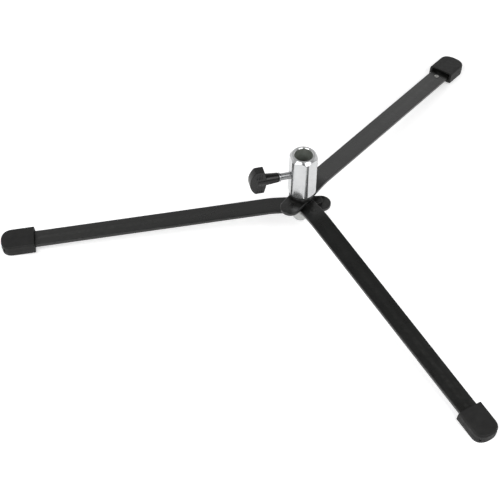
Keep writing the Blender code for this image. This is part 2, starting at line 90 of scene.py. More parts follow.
# Bars and boots
BAR_WIDTH = 0.018
BAR_THICKNESS = 0.0034
BAR_TOP_AT_MOUTH = 0.0102               # above the floor
BEND_DISTANCE = 0.0265
SWING_TIP = 0.2693
FIXED_TIP = 0.2798
MOUTHS = {"lower_leg": 0.2412, "middle_leg": 0.2518, "upper_leg": 0.2569}
TIPS = {"lower_leg": SWING_TIP, "middle_leg": FIXED_TIP, "upper_leg": SWING_TIP}
RIVET_FROM_TIP = 0.0200
RIVET_HEAD_RADIUS, RIVET_HEAD_HEIGHT, RIVET_SHANK_RADIUS = 0.0023, 0.0010, 0.0016
STOP_DISTANCE = 0.0155
STOP_RADIUS, STOP_HEIGHT, STOP_SHANK_RADIUS = 0.0041, 0.0033, 0.0020
BEND_RADIUS = 0.060
BAR_EDGE = 0.0008                       # rounding along the bar's edges
BAR_TIP_CORNER = 0.003
SWING_OVERHANG, SWING_END_RADIUS = 0.0273, 0.009
FIXED_OVERHANG, FIXED_END_RADIUS = 0.0108, 0.0108
STUD_RADIUS = 0.00395
BOOT_LENGTH = 0.0309
BOOT_HALF_WIDTH = 0.0120
BOOT_HEIGHT = 0.0106
BOOT_SOLE_DEPTH = 0.0068
BOOT_TIP = 0.0106
BOOT_TIP_EXPONENT = 2.4
BOOT_ROUNDING = 0.0020
BOOT_MOUTH_AIR = 0.0024
BOOT_CAVITY_HALF_WIDTH = 0.0095
BOOT_SOLE_EDGE = 0.0005
SEAM_WIDTH, SEAM_HEIGHT = 0.0004, 0.00012       # mould seam round a boot

# Hub stack
LEG_WASHER_RADIUS = 0.0105
BOTTOM_WASHER_RADIUS = 0.0080
SPRING_WASHER_THICKNESS = 0.0007
STUD_PITCH, STUD_THREAD_DEPTH = 0.00125, 0.0005
NUT_ACROSS_FLATS = 0.0130
NUT_CORNER_ROUNDING = 0.0004
NUT_COLLAR_RADIUS = 0.0059
NUT_COLLAR_HEIGHT = 0.0022
NUT_LIP = 0.0009                        # width of the collar's rolled edge
NUT_FLAT_SHARE = 0.97                   # of the half width, that the chamfer leaves flat
NUT_CHAMFER_SLOPE = tan(radians(30))

# Socket
ACROSS_FLATS = 0.0236
CORNER_RADIUS = 0.0127                  # of the cylinder that rounds the six corners
CORNER_BLEND = 0.00005                  # softness of the line between facet and corner
FACET_AZIMUTH = radians(191)            # of the facet that the thumbscrew enters
BORE_RADIUS = 0.0081
BORE_CHAMFER = 0.0006
RIM_RADIUS = 0.0103
END_CHAMFER_SLOPE = 1.0
STUD_HOLE_RADIUS = 0.00425
STUD_CEILING = 0.0042                   # depth of the stud's hole in the socket's base

# Thumbscrew, measured from the bore's axis
SCREW_RADIUS = 0.0034
SCREW_PITCH = 0.0010
THREAD_DEPTH = 0.00045
PAD_START, PAD_END, PAD_RADIUS = 0.0082, 0.0091, 0.0026
THREAD_START = 0.0093
SCREW_END_IN_KNOB = 0.0310
COLLAR_START, COLLAR_END, COLLAR_RADIUS = 0.0210, 0.0220, 0.0042
NECK_START = 0.0223
WING_START = 0.0343
WING_DEPTH = 0.0149
WING_SHOULDER = 0.0098                  # where the crown meets the wing's ends
WING_CORNER = 0.0019
WING_HALF_HEIGHT = 0.0127
WING_THICKNESS = 0.0083
GROOVE_MIDDLE = 0.0063
GROOVE_CENTRE = 0.0079
GROOVE_PITCH = 0.0022
GROOVE_LENGTH = 0.0058
GROOVE_TOOL_RADIUS = 0.0007
GROOVES_PER_END = 3
WING_EDGE = 0.0016
NECK_RADIUS = 0.00435
NECK_ROOT_RADIUS = 0.0053


# ---------------------------------------------------------------- mesh helpers

def object_from(shell, name, material, angle=35, place=None):
    """Turns a bmesh into a smooth-shaded object whose place is in its mesh."""
    bmesh.ops.remove_doubles(shell, verts=shell.verts, dist=0.0000005)
    bmesh.ops.recalc_face_normals(shell, faces=shell.faces)
    mesh = bpy.data.meshes.new(name)
    shell.to_mesh(mesh)
    shell.free()
    if place:
        mesh.transform(place)
    mesh.shade_smooth()
    mesh.set_sharp_from_angle(angle=radians(angle))
    mesh.materials.append(material)
    obj = bpy.data.objects.new(name, mesh)
    bpy.context.scene.collection.objects.link(obj)
    return obj


def columns_mesh(columns, closed_profile=False):
    """A ring of profile columns, each a list of points, joined by quads."""
    shell = bmesh.new()
    grid = [[shell.verts.new(point) for point in column] for column in columns]
    count = len(grid[0])
    last = count if closed_profile else count - 1
    for i, column in enumerate(grid):
        following = grid[(i + 1) % len(grid)]
        for j in range(last):
            k = (j + 1) % count
            corners = [column[j], following[j], following[k], column[k]]
            if len({tuple(corner.co) for corner in corners}) > 2:
                shell.faces.new(corners)
    return shell


def rounded(points, radii, steps=4, closed=False):
    """The profile with each corner replaced by an arc of its own radius."""
    if not isinstance(radii, (list, tuple)):
        radii = [radii] * len(points)
    result = []
    for i, point in enumerate(points):
        here = Vector(point)
        ends = not closed and i in (0, len(points) - 1)
        if ends or radii[i] <= 0:
            result.append(tuple(here))
            continue
        before = Vector(points[i - 1]) - here
        after = Vector(points[(i + 1) % len(points)]) - here
        turn = before.angle(after)
        reach = min(radii[i] / tan(turn / 2), before.length * 0.49, after.length * 0.49)
        start = here + before.normalized() * reach
        end = here + after.normalized() * reach
        for step in range(steps + 1):
            t = step / steps
            result.append(tuple(start * (1 - t) ** 2 + here * 2 * t * (1 - t) + end * t ** 2))
    return result


def lathe(name, profile, material, place=None, segments=96, closed=False, angle=35):
    """A turned piece about Z from its (radius, z) profile."""
    columns = []
    for i in range(segments):
        turn = 2 * pi * i / segments
        columns.append([(radius * cos(turn), radius * sin(turn), z) for radius, z in profile])
    return object_from(columns_mesh(columns, closed), name, material, angle, place)


def ring(inner, outer, bottom, top, edge=0.00025):
    return rounded([(inner, bottom), (inner, top), (outer, top), (outer, bottom)],
                   [edge / 3, edge / 3, edge, edge], closed=True)


def hexagon_radius(turn, across_flats, corner_radius):
    """Distance from the axis to a hexagon with rounded corners; a facet's normal is at turn 0."""
    apothem = across_flats / 2
    sector = (turn + pi / 6) % (pi / 3) - pi / 6
    plain = apothem / cos(sector)
    centre = (apothem - corner_radius) / cos(pi / 6)
    from_corner = pi / 6 - abs(sector)
    limit = atan2(centre * sin(pi / 6), apothem)
    if abs(sector) < limit:
        return plain
    side = centre * sin(from_corner)
    return centre * cos(from_corner) + (corner_radius ** 2 - side ** 2) ** 0.5


def socket_radius(turn):
    """Distance from the axis to the socket's side: flat facets and turned corners."""
    sector = (turn + pi / 6) % (pi / 3) - pi / 6
    facet = ACROSS_FLATS / 2 / cos(sector)
    lead = min(facet, CORNER_RADIUS)
    rest = max(facet, CORNER_RADIUS) - lead
    return lead - CORNER_BLEND * log(1 + exp(-rest / CORNER_BLEND))


def socket_turns():
    """Angles round the socket, close together where a facet meets a corner."""
    meeting = acos(ACROSS_FLATS / 2 / CORNER_RADIUS)
    offsets = [meeting * i / 5 for i in range(-4, 5)]
    for side in (-1, 1):
        offsets += [side * (meeting + radians(0.6) * i) for i in range(-4, 5)]
    corner = pi / 3 - 2 * meeting
    offsets += [meeting + corner * i / 6 for i in range(1, 6)]
    return sorted(sector * pi / 3 + offset for sector in range(6) for offset in offsets)


def hexagon_turns(plain_steps=10, corner_steps=8, corner=radians(5)):
    """Angles round a hexagon, close together at its corners."""
    turns = []
    for sector in range(6):
        start = sector * pi / 3 - pi / 6
        flat = pi / 3 - 2 * corner
        turns += [start - corner + 2 * corner * i / corner_steps for i in range(corner_steps)]
        turns += [start + corner + flat * i / plain_steps for i in range(plain_steps)]
    return turns


def thread_mesh(major, depth, pitch, start, end, segments=36, bore=0.0):
    """A rod along Z with a real helical thread, its crests fading out at both ends."""
    columns = []
    steps = int((end - start) / pitch * 6)
    for i in range(segments):
        turn = i / segments
        column = [(bore, start)]
        for j in range(steps + 1):
            z = start + (end - start) * j / steps
            phase = (z / pitch - turn) % 1.0
            wave = 0.5 - 0.5 * cos(2 * pi * phase)
            fade = min(1.0, (z - start) / pitch, (end - z) / pitch)
            column.append((major - depth * (1 - wave * fade), z))
        column.append((bore, end))
        columns.append([(r * cos(2 * pi * turn), r * sin(2 * pi * turn), z) for r, z in column])
    return columns_mesh(columns)


def apply_modifiers(obj):
    """Bakes the modifiers into the mesh."""
    evaluated = obj.evaluated_get(bpy.context.evaluated_depsgraph_get())
    mesh = bpy.data.meshes.new_from_object(evaluated)
    obj.modifiers.clear()
    old = obj.data
    obj.data = mesh
    bpy.data.meshes.remove(old)


def clear_slivers(mesh):
    """Removes the slivers that a Boolean leaves and splits its many-sided faces."""
    shell = bmesh.new()
    shell.from_mesh(mesh)
    bmesh.ops.remove_doubles(shell, verts=shell.verts, dist=SLIVER)
    bmesh.ops.dissolve_degenerate(shell, dist=SLIVER, edges=shell.edges)
    many_sided = [face for face in shell.faces if len(face.verts) > 4]
    bmesh.ops.triangulate(shell, faces=many_sided)
    bmesh.ops.dissolve_degenerate(shell, dist=SLIVER / 4, edges=shell.edges)
    shell.to_mesh(mesh)
    shell.free()


def cut(obj, tools, operation="DIFFERENCE"):
    for tool in tools:
        modifier = obj.modifiers.new("Boolean", "BOOLEAN")
        modifier.operation = operation
        modifier.solver = "EXACT"
        modifier.object = tool
    bpy.context.view_layer.update()
    apply_modifiers(obj)
    clear_slivers(obj.data)
    for tool in tools:
        bpy.data.objects.remove(tool)


def stands_for(obj, node):
    """The piece takes the CAD node's place, on its body."""
    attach(obj, frame["nodes"][node]["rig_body"])
    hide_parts(node)
    return obj


# ---------------------------------------------------------------- materials

class Nodes:
    """Short way to build a material's node tree."""

    def __init__(self, name):
        self.material = bpy.data.materials.new(name)
        self.material.use_nodes = True
        self.tree = self.material.node_tree
        self.shader = self.tree.nodes["Principled BSDF"]
        self.coords = self.tree.nodes.new("ShaderNodeTexCoord").outputs["Object"]

    def link(self, output, target):
        self.tree.links.new(output, target)

    def set(self, **values):
        for name, value in values.items():
            self.shader.inputs[name.replace("_", " ")].default_value = value

    def stretched(self, scale=(1, 1, 1), rotation=(0, 0, 0)):
        node = self.tree.nodes.new("ShaderNodeMapping")
        node.inputs["Scale"].default_value = scale
        node.inputs["Rotation"].default_value = rotation
        self.link(self.coords, node.inputs["Vector"])
        return node.outputs["Vector"]

    def noise(self, grain, detail=3.0, roughness=0.5, vector=None, distortion=0.0):
        """Noise whose blobs are about as wide as grain, in metres."""
        node = self.tree.nodes.new("ShaderNodeTexNoise")
        node.inputs["Scale"].default_value = 1 / grain
        node.inputs["Detail"].default_value = detail
        node.inputs["Roughness"].default_value = roughness
        node.inputs["Distortion"].default_value = distortion
        self.link(vector or self.coords, node.inputs["Vector"])
        return node.outputs["Fac"]

    def cells(self, grain, feature="F1"):
        node = self.tree.nodes.new("ShaderNodeTexVoronoi")
        node.feature = feature
        node.inputs["Scale"].default_value = 1 / grain
        self.link(self.coords, node.inputs["Vector"])
        return node.outputs["Distance"]

    def remap(self, value, low, high, to_low, to_high):
        node = self.tree.nodes.new("ShaderNodeMapRange")
        for name, number in (("From Min", low), ("From Max", high),
                             ("To Min", to_low), ("To Max", to_high)):
            node.inputs[name].default_value = number
        self.link(value, node.inputs["Value"])
        return node.outputs["Result"]

    def math(self, operation, a, b):
        node = self.tree.nodes.new("ShaderNodeMath")
        node.operation = operation
        for value, socket in ((a, node.inputs[0]), (b, node.inputs[1])):
            if isinstance(value, (int, float)):
                socket.default_value = value
            else:
                self.link(value, socket)
        return node.outputs["Value"]

    def mix(self, factor, a, b):
        node = self.tree.nodes.new("ShaderNodeMix")
        node.data_type = "RGBA"
        self.link(factor, node.inputs["Factor"])
        for value, socket in ((a, node.inputs["A"]), (b, node.inputs["B"])):
            if isinstance(value, tuple):
                socket.default_value = (*value, 1.0)
            else:
                self.link(value, socket)
        return node.outputs["Result"]

    def bump(self, height, distance, strength=1.0, normal=None):
        node = self.tree.nodes.new("ShaderNodeBump")
        node.inputs["Distance"].default_value = distance
        node.inputs["Strength"].default_value = strength
        self.link(height, node.inputs["Height"])
        if normal:
            self.link(normal, node.inputs["Normal"])
        return node.outputs["Normal"]

    def edges(self):
        """1 on worn convex edges, 0 on flats."""
        geometry = self.tree.nodes.new("ShaderNodeNewGeometry")
        return self.remap(geometry.outputs["Pointiness"], 0.52, 0.60, 0.0, 1.0)

    def done(self, colour, roughness, normal):
        self.link(colour, self.shader.inputs["Base Color"])
        self.link(roughness, self.shader.inputs["Roughness"])
        self.link(normal, self.shader.inputs["Normal"])
        return self.material


def powder_coat():
    """Satin black powder coat: fine orange peel, faint dust and rubbed edges."""
    nodes = Nodes("powder_coat")
    nodes.set(Metallic=0.0, IOR=1.5)
    tone = nodes.remap(nodes.noise(0.014, 4.0), 0.3, 0.7, 0.0, 1.0)
    base = nodes.mix(tone, (0.0030, 0.0032, 0.0028), (0.0050, 0.0052, 0.0045))
    specks = nodes.remap(nodes.cells(0.0011), 0.06, 0.10, 1.0, 0.0)
    speckled = nodes.mix(nodes.math("MULTIPLY", specks, 0.12), base, (0.03, 0.03, 0.029))
    rubbed = nodes.math("MULTIPLY", nodes.edges(), nodes.remap(nodes.noise(0.004), 0.35, 0.7, 0.1, 0.8))
    colour = nodes.mix(nodes.math("MULTIPLY", rubbed, 0.5), speckled, (0.055, 0.055, 0.052))
    patchy = nodes.remap(nodes.noise(0.020, 3.0), 0.3, 0.7, 0.27, 0.36)
    grain = nodes.remap(nodes.noise(0.0004, 2.0), 0.3, 0.7, -0.03, 0.03)
    peel = nodes.bump(nodes.noise(0.0016, 2.0, 0.4), 0.00016, 0.55)
    fine = nodes.bump(nodes.noise(0.00045, 2.0), 0.00004, 0.5, peel)
    return nodes.done(colour, nodes.math("ADD", patchy, grain), fine)


def rubber():
    """Matte moulded rubber with a fine grain and a little dust on it."""
    nodes = Nodes("moulded_rubber")
    nodes.set(Metallic=0.0, IOR=1.48, Specular_IOR_Level=0.30)
    dust = nodes.remap(nodes.noise(0.006, 6.0, 0.65), 0.42, 0.75, 0.0, 1.0)
    base = nodes.mix(nodes.remap(nodes.noise(0.010), 0.3, 0.7, 0.0, 1.0),
                     (0.0080, 0.0080, 0.0078), (0.0120, 0.0120, 0.0117))
    colour = nodes.mix(nodes.math("MULTIPLY", dust, 0.30), base, (0.030, 0.0295, 0.028))
    roughness = nodes.remap(nodes.noise(0.003, 4.0), 0.3, 0.7, 0.52, 0.68)
    grain = nodes.bump(nodes.noise(0.0005, 3.0, 0.6), 0.00007, 0.7)
    ripple = nodes.bump(nodes.noise(0.0045, 2.0), 0.00035, 0.35, grain)
    return nodes.done(colour, roughness, ripple)


def black_plastic():
    """Semi-gloss moulded plastic with a light spark-eroded grain."""
    nodes = Nodes("moulded_plastic")
    nodes.set(Metallic=0.0, IOR=1.5, Specular_IOR_Level=0.28)
    base = nodes.mix(nodes.remap(nodes.noise(0.005), 0.3, 0.7, 0.0, 1.0),
                     (0.0075, 0.0075, 0.0075), (0.0110, 0.0110, 0.0108))
    rubbed = nodes.math("MULTIPLY", nodes.edges(), nodes.remap(nodes.noise(0.0015), 0.4, 0.7, 0.0, 0.6))
    colour = nodes.mix(rubbed, base, (0.045, 0.045, 0.044))
    roughness = nodes.remap(nodes.noise(0.0022, 3.0), 0.3, 0.7, 0.24, 0.34)
    grain = nodes.bump(nodes.cells(0.00045), 0.00003, 0.5)
    return nodes.done(colour, roughness, grain)


def chrome():
    """Bright plating over a drawn bar: faint lengthwise lines, haze and fingerprints."""
    nodes = Nodes("bright_chrome")
    nodes.set(Metallic=1.0)
    haze = nodes.remap(nodes.noise(0.007, 5.0, 0.6), 0.35, 0.75, 0.0, 1.0)
    colour = nodes.mix(haze, (0.560, 0.565, 0.568), (0.505, 0.510, 0.514))
    lines = nodes.noise(0.0006, 3.0, 0.6, nodes.stretched((1, 1, 0.04)))
    streaks = nodes.remap(lines, 0.3, 0.7, 0.13, 0.21)
    roughness = nodes.math("ADD", streaks, nodes.math("MULTIPLY", haze, 0.08))
    drawn = nodes.bump(lines, 0.000012, 0.6)
    waves = nodes.bump(nodes.noise(0.006, 2.0), 0.00010, 0.35, drawn)
    return nodes.done(colour, roughness, waves)


def screw_steel():
    """Plated screw stock: greyer than the socket, brighter on the crests of its thread."""
    nodes = Nodes("screw_steel")
    nodes.set(Metallic=1.0)
    clouds = nodes.remap(nodes.noise(0.0025, 4.0), 0.35, 0.7, 0.0, 1.0)
    colour = nodes.mix(clouds, (0.40, 0.405, 0.41), (0.31, 0.315, 0.32))
    roughness = nodes.remap(nodes.noise(0.0009, 3.0), 0.3, 0.7, 0.24, 0.36)
    return nodes.done(colour, roughness, nodes.bump(nodes.noise(0.0004, 2.0), 0.00001, 0.5))


def bored_steel():
    """Unplated inside of the bore: dull, with the drill's turning marks."""
    nodes = Nodes("bored_steel")
    nodes.set(Metallic=0.55, IOR=1.5)
    colour = nodes.mix(nodes.remap(nodes.noise(0.004), 0.3, 0.7, 0.0, 1.0),
                       (0.24, 0.26, 0.23), (0.33, 0.35, 0.32))
    marks = nodes.noise(0.0005, 3.0, 0.6, nodes.stretched((0.05, 0.05, 1)))
    roughness = nodes.remap(marks, 0.3, 0.7, 0.45, 0.62)
    return nodes.done(colour, roughness, nodes.bump(marks, 0.00005, 0.7))


def zinc():
    """Zinc-plated steel: soft grey with faint yellow and blue clouds and turning marks."""
    nodes = Nodes("zinc_plate")
    nodes.set(Metallic=1.0)
    clouds = nodes.remap(nodes.noise(0.0035, 5.0, 0.6), 0.35, 0.65, 0.0, 1.0)
    colour = nodes.mix(clouds, (0.44, 0.437, 0.415), (0.36, 0.372, 0.378))
    roughness = nodes.remap(nodes.noise(0.0012, 4.0), 0.3, 0.7, 0.26, 0.42)
    marks = nodes.bump(nodes.noise(0.0003, 3.0, 0.6, nodes.stretched((1, 1, 8))), 0.00002, 0.6)
    return nodes.done(colour, roughness, marks)


def nylon():
    """Natural nylon, slightly translucent, of the lock nut's insert."""
    nodes = Nodes("natural_nylon")
    nodes.set(Subsurface_Weight=0.25, IOR=1.53)
    colour = nodes.mix(nodes.remap(nodes.noise(0.002), 0.3, 0.7, 0.0, 1.0),
                       (0.70, 0.71, 0.67), (0.78, 0.78, 0.74))
    roughness = nodes.remap(nodes.noise(0.001), 0.3, 0.7, 0.38, 0.52)
    return nodes.done(colour, roughness, nodes.bump(nodes.noise(0.0008), 0.00003, 0.5))


def paper_floor():
    nodes = Nodes("studio_floor")
    nodes.set(Emission_Strength=0.45, Specular_IOR_Level=0.1)
    nodes.shader.inputs["Emission Color"].default_value = (1.0, 1.0, 1.0, 1.0)
    colour = nodes.mix(nodes.noise(0.4), (0.90, 0.90, 0.90), (0.92, 0.92, 0.92))
    roughness = nodes.remap(nodes.noise(0.05), 0.3, 0.7, 0.82, 0.9)
    return nodes.done(colour, roughness, nodes.bump(nodes.noise(0.002), 0.00002, 0.3))


# ---------------------------------------------------------------- socket

def box_middle(node):
    low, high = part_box(node)
    return (low + high) / 2


SCREW_HEIGHT = box_middle("thumbscrew_stud").z


def along_screw():
    """Frame of the thumbscrew: its Z runs out of the socket along the screw."""
    return (Matrix.Translation((0, 0, SCREW_HEIGHT)) @ Matrix.Rotation(FACET_AZIMUTH, 4, "Z")
            @ Matrix.Rotation(pi / 2, 4, "Y"))


def make_socket(metal, bore_metal):
    """Hexagonal bar with turned corners and ends: one profile column at each angle round it."""
    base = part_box("socket")[0].z
    ceiling = base + STUD_CEILING
    columns = []
    for turn in socket_turns():
        side = socket_radius(turn)
        drop = (side - RIM_RADIUS) * END_CHAMFER_SLOPE
        outline = [(0, 0), (BORE_RADIUS, 0), (BORE_RADIUS, RIM - BORE_CHAMFER),
                   (BORE_RADIUS + BORE_CHAMFER, RIM), (RIM_RADIUS, RIM), (side, RIM - drop),
                   (side, base + drop), (RIM_RADIUS, base),
                   (STUD_HOLE_RADIUS, base), (STUD_HOLE_RADIUS, ceiling), (0, ceiling)]
        radii = [0, 0.0003, 0.0003, 0.00015, 0.0003, 0.0005, 0.0005, 0.0003, 0.0001, 0.0001, 0]
        angle = turn + FACET_AZIMUTH
        columns.append([(r * cos(angle), r * sin(angle), z) for r, z in rounded(outline, radii, 3)])
    socket = object_from(columns_mesh(columns), "socket_body", metal, 30)
    hole = SCREW_RADIUS + RUNNING_FIT
    wall = ACROSS_FLATS / 2
    sink = [(0, 0.0), (hole, 0.0), (hole, wall - 0.0004), (hole + 0.0006, wall + 0.0002),
            (hole + 0.0006, wall + 0.003), (0, wall + 0.003)]
    cut(socket, [lathe("socket_cross_hole", sink, metal, along_screw(), 64)])
    socket.data.set_sharp_from_angle(angle=radians(30))
    socket.data.materials.append(bore_metal)
    for face in socket.data.polygons:
        middle = face.center
        if hypot(middle.x, middle.y) < BORE_RADIUS + BORE_CHAMFER / 3 and 0 <= middle.z < RIM:
            face.material_index = 1
    modifier = socket.modifiers.new("Normals", "WEIGHTED_NORMAL")
    modifier.keep_sharp = True
    stands_for(socket, "socket")


def make_hub_stack(paint, steel, black, plastic):
    """Flange, washers, spring washer, pivot stud and locking nut, with rounded edges; the black flange
    also stands for the shade under the socket, as painted shade.
    """
    for node, outer, finish, slot in (("lower_leg_washer", LEG_WASHER_RADIUS, black, "black_plastic"),
                                      ("upper_leg_washer", LEG_WASHER_RADIUS, black, "black_plastic"),
                                      ("bottom_washer", BOTTOM_WASHER_RADIUS, steel, "zinc")):
        low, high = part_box(node)
        piece = lathe(node + "_ring", ring(STUD_HOLE_RADIUS, outer, low.z, high.z), finish, closed=True)
        stands_for(piece, node)
    # The flange ring is black powder coat: a spacer that also stands in for the shade in the gap under
    # the socket, as painted shade.
    low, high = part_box("socket_flange")
    shade_flange = ring(STUD_HOLE_RADIUS, high.x, low.z, high.z, 0.0006)
    stands_for(lathe("socket_flange_ring", shade_flange, paint, closed=True), "socket_flange")
    low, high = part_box("spring_washer")
    thick = SPRING_WASHER_THICKNESS
    dish = [(STUD_HOLE_RADIUS, high.z - thick), (STUD_HOLE_RADIUS, high.z),
            (high.x, low.z + thick), (high.x, low.z)]
    stands_for(lathe("spring_washer_ring", rounded(dish, 0.00015, closed=True), steel, closed=True),
               "spring_washer")
    make_stud(steel)
    make_nut(steel)
    low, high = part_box("lock_nut_insert")
    insert = ring(STUD_HOLE_RADIUS, high.x, low.z, high.z, 0.00015)
    stands_for(lathe("lock_nut_ring", insert, plastic, closed=True), "lock_nut_insert")


def make_stud(steel):
    low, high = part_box("pivot_stud")
    threaded = thread_mesh(high.x, STUD_THREAD_DEPTH, STUD_PITCH, low.z, high.z, 48)
    stands_for(object_from(threaded, "pivot_stud_thread", steel, 60), "pivot_stud")


def make_nut(steel):
    """Locking nut: chamfered hexagon above, round collar with a rolled edge below."""
    low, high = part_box("lock_nut")
    collar = NUT_COLLAR_RADIUS
    hexagon_bottom = low.z + NUT_COLLAR_HEIGHT
    chamfer_radius = NUT_ACROSS_FLATS / 2 * NUT_FLAT_SHARE
    columns = []
    for turn in hexagon_turns(8, 6, radians(4)):
        side = hexagon_radius(turn, NUT_ACROSS_FLATS, NUT_CORNER_ROUNDING)
        drop = max(0.00002, (side - chamfer_radius) * NUT_CHAMFER_SLOPE)
        inside = STUD_HOLE_RADIUS
        outline = [(inside, high.z), (chamfer_radius, high.z), (side, high.z - drop),
                   (side, hexagon_bottom + drop), (chamfer_radius, hexagon_bottom),
                   (collar, hexagon_bottom), (collar, low.z + 0.0006), (collar - NUT_LIP, low.z),
                   (collar - NUT_LIP, low.z + 0.0002), (inside, low.z + 0.0016)]
        radii = [0, 0.0001, 0.0001, 0.0001, 0.0001, 0.0003, 0.0006, 0.0002, 0.0001, 0]
        profile = rounded(outline, radii, 3)
        columns.append([(r * cos(turn), r * sin(turn), z) for r, z in profile])
    stands_for(object_from(columns_mesh(columns, True), "lock_nut_body", steel, 25), "lock_nut")


# ---------------------------------------------------------------- legs

class Leg:
    """Places on one leg: +X outwards from the axis, Z from the bar's flat top."""

    def __init__(self, name):
        self.name = name
        rivet = box_middle(name + "_rivet")
        self.azimuth = atan2(rivet.y, rivet.x)
        self.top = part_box(name + "_bar")[1].z
        self.mouth = MOUTHS[name]
        self.tip = TIPS[name]
        drop = self.top - (FLOOR + BAR_TOP_AT_MOUTH)
        self.slope = atan2(drop, self.mouth - BEND_DISTANCE)
        self.frame = Matrix.Translation((0, 0, self.top)) @ Matrix.Rotation(self.azimuth, 4, "Z")

    def on_slope(self, x):
        """Frame on the sloping top face, x away from the axis."""
        z = -(x - BEND_DISTANCE) * tan(self.slope)
        return (self.frame @ Matrix.Translation((x, 0, z)) @ Matrix.Rotation(self.slope, 4, "Y"))


def plan_arc(centre_x, centre_y, radius, start, end, steps):
    return [(centre_x + radius * cos(start + (end - start) * i / steps),
             centre_y + radius * sin(start + (end - start) * i / steps)) for i in range(steps + 1)]


def bar_outline(leg):
    """The bar from above: round hub end, square tip with small corners."""
    half = BAR_WIDTH / 2
    overhang, end_radius = ((FIXED_OVERHANG, FIXED_END_RADIUS) if leg.tip == FIXED_TIP
                            else (SWING_OVERHANG, SWING_END_RADIUS))
    reach = asin(min(1, half / end_radius))
    corner = BAR_TIP_CORNER
    return (plan_arc(end_radius - overhang, 0, end_radius, pi - reach, pi + reach, 36)
            + plan_arc(leg.tip - corner, corner - half, corner, -pi / 2, 0, 8)
            + plan_arc(leg.tip - corner, half - corner, corner, 0, pi / 2, 8))


def make_bar(leg, paint):
    """A flat plate with rounded edges and its holes, bent down from the hub."""
    node = leg.name + "_bar"
    shell = bmesh.new()
    face = shell.faces.new([shell.verts.new((x, y, -BAR_THICKNESS)) for x, y in bar_outline(leg)])
    extruded = bmesh.ops.extrude_face_region(shell, geom=[face])
    moved = [item for item in extruded["geom"] if isinstance(item, bmesh.types.BMVert)]
    bmesh.ops.translate(shell, verts=moved, vec=(0, 0, BAR_THICKNESS))
    bmesh.ops.recalc_face_normals(shell, faces=shell.faces)
    rim = [edge for edge in shell.edges
           if abs(edge.verts[0].co.z - edge.verts[1].co.z) < BAR_THICKNESS / 2]
    bmesh.ops.bevel(shell, geom=rim, offset=BAR_EDGE, segments=4, profile=0.5, affect="EDGES")
    bar = object_from(shell, node + "_coated", paint, 30)
    holes = [(0, STUD_RADIUS + RUNNING_FIT), (leg.tip - RIVET_FROM_TIP, RIVET_SHANK_RADIUS + GAP)]
    if leg.tip == SWING_TIP:
        holes.append((-STOP_DISTANCE, STOP_SHANK_RADIUS + GAP))
    tools = []
    for x, radius in holes:
        drill = [(0, 0.004), (radius, 0.004), (radius, -0.008), (0, -0.008)]
        tools.append(lathe("drill", drill, paint, Matrix.Translation((x, 0, 0)), 48))
    cut(bar, tools)
    bend(bar, leg)
    bar.data.transform(leg.frame)
    bar.data.set_sharp_from_angle(angle=radians(35))
    modifier = bar.modifiers.new("Normals", "WEIGHTED_NORMAL")
    modifier.keep_sharp = True
    stands_for(bar, node)


def bend(bar, leg):
    """Lowers the plate: level at the hub, an arc, then the slope down to the boot."""
    start = BEND_DISTANCE - BEND_RADIUS * tan(leg.slope / 2)
    end = start + BEND_RADIUS * sin(leg.slope)
    shell = bmesh.new()
    shell.from_mesh(bar.data)
    steps = 14
    for i in range(steps + 1):
        x = start + (end - start) * i / steps
        bmesh.ops.bisect_plane(shell, geom=shell.verts[:] + shell.edges[:] + shell.faces[:],
                               plane_co=(x, 0, 0), plane_no=(1, 0, 0))
    for vert in shell.verts:
        x = vert.co.x
        if start < x < end:
            vert.co.z -= BEND_RADIUS - (BEND_RADIUS ** 2 - (x - start) ** 2) ** 0.5
        elif x >= end:
            vert.co.z -= (x - BEND_DISTANCE) * tan(leg.slope)
    shell.to_mesh(bar.data)
    shell.free()


def make_rivet(leg, steel):
    """Domed rivet head with a small dimple from the setting tool."""
    head, height, shank = RIVET_HEAD_RADIUS, RIVET_HEAD_HEIGHT, RIVET_SHANK_RADIUS
    dome = [(head * sin(radians(7.5 * i)), GAP + height * cos(radians(7.5 * i))) for i in range(13)]
    dimple = [(0, GAP + height - 0.00022), (0.0006, GAP + height - 0.00018), (0.0009, GAP + height)]
    profile = dimple + dome[4:] + [(shank, GAP), (shank, -BAR_THICKNESS), (0, -BAR_THICKNESS)]
    piece = lathe(leg.name + "_rivet_head", profile, steel, leg.on_slope(leg.tip - RIVET_FROM_TIP), 48)
    stands_for(piece, leg.name + "_rivet")


def make_stop(leg, paint, side):
    """Stop pin riveted into the overhang."""
    head, height, shank = STOP_RADIUS, STOP_HEIGHT, STOP_SHANK_RADIUS
    profile = rounded([(0, height + GAP), (head, height + GAP), (head, GAP), (shank, GAP),
                       (shank, -BAR_THICKNESS), (0, -BAR_THICKNESS)],
                      [0, 0.0005, 0.00025, 0.0001, 0.0001, 0], 4)
    place = leg.frame @ Matrix.Translation((-STOP_DISTANCE, 0, 0))
    if side < 0:
        place = place @ Matrix.Translation((0, 0, -BAR_THICKNESS)) @ Matrix.Rotation(pi, 4, "X")
    stands_for(lathe(leg.name + "_stop_pin", profile, paint, place, 64), leg.name + "_stop")


def boot_outline(inset=0.0, steps=40):
    """The boot from above: straight sides from the mouth, then a rounded tip."""
    half = BOOT_HALF_WIDTH - inset
    straight = BOOT_LENGTH - BOOT_TIP
    power = 2 / BOOT_TIP_EXPONENT
    points = [(inset, -half), (straight / 2, -half)]
    for i in range(steps + 1):
        a = -pi / 2 + pi * i / steps
        side = 1 if a > 0 else -1
        points.append((straight + (BOOT_TIP - inset) * abs(cos(a)) ** power,
                       side * half * abs(sin(a)) ** power))
    return points + [(straight / 2, half), (inset, half)]


